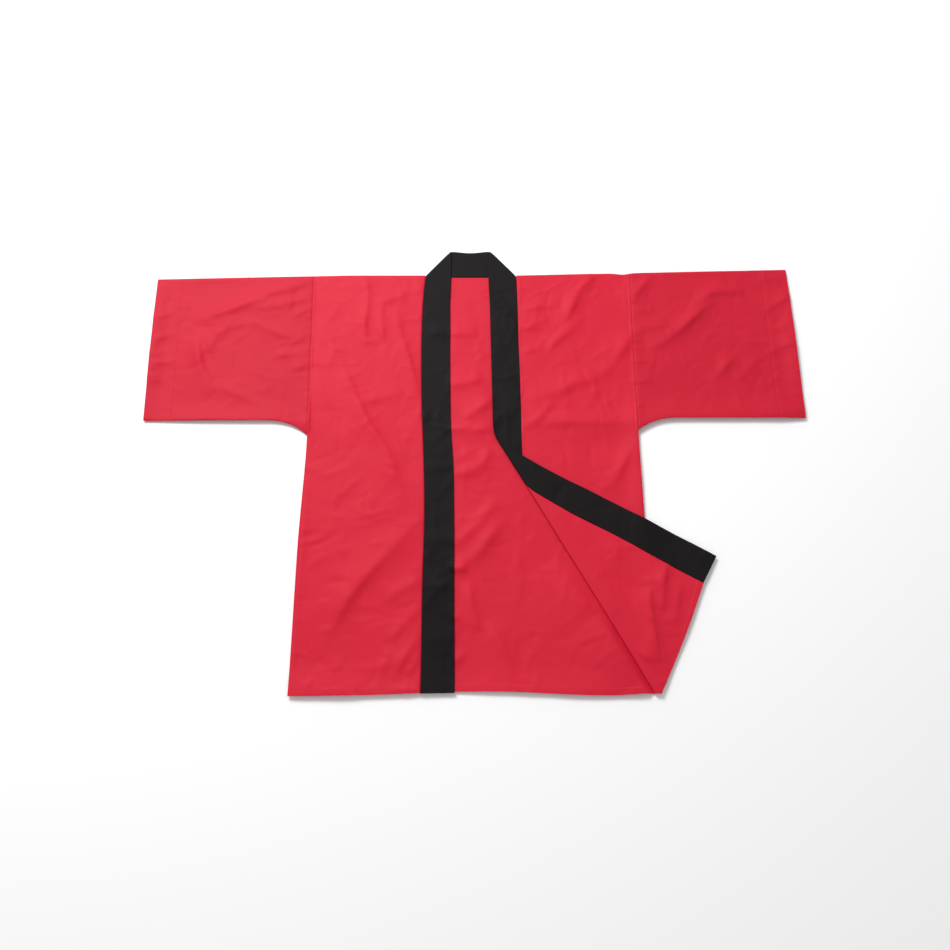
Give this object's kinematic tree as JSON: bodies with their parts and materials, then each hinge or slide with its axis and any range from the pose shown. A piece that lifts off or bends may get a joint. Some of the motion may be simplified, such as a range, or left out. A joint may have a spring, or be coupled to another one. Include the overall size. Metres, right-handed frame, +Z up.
{
  "type": "happi coat",
  "caption": "Straight-cut happi coat with wide sleeves and a contrasting collar strip, laid out flat on its back with a front corner turned back.",
  "frame": {"origin": "centre of the coat's outline box, on the surface it lies on", "axes": "+X towards the wearer's left cuff, +Y from the hem to the neck, +Z up out of the fronts"},
  "size_m": [1.286, 0.9046, 0.0095],
  "materials": {
    "red_cloth": "plain-woven broadcloth, matt",
    "black_cloth": "plain-woven broadcloth, matt"
  },
  "bodies": {
    "root": {"back": "red_cloth", "front_right": "red_cloth", "front_left": "red_cloth", "sleeve_right": "red_cloth", "sleeve_left": "red_cloth", "collar": "black_cloth"}
  },
  "joints": []
}
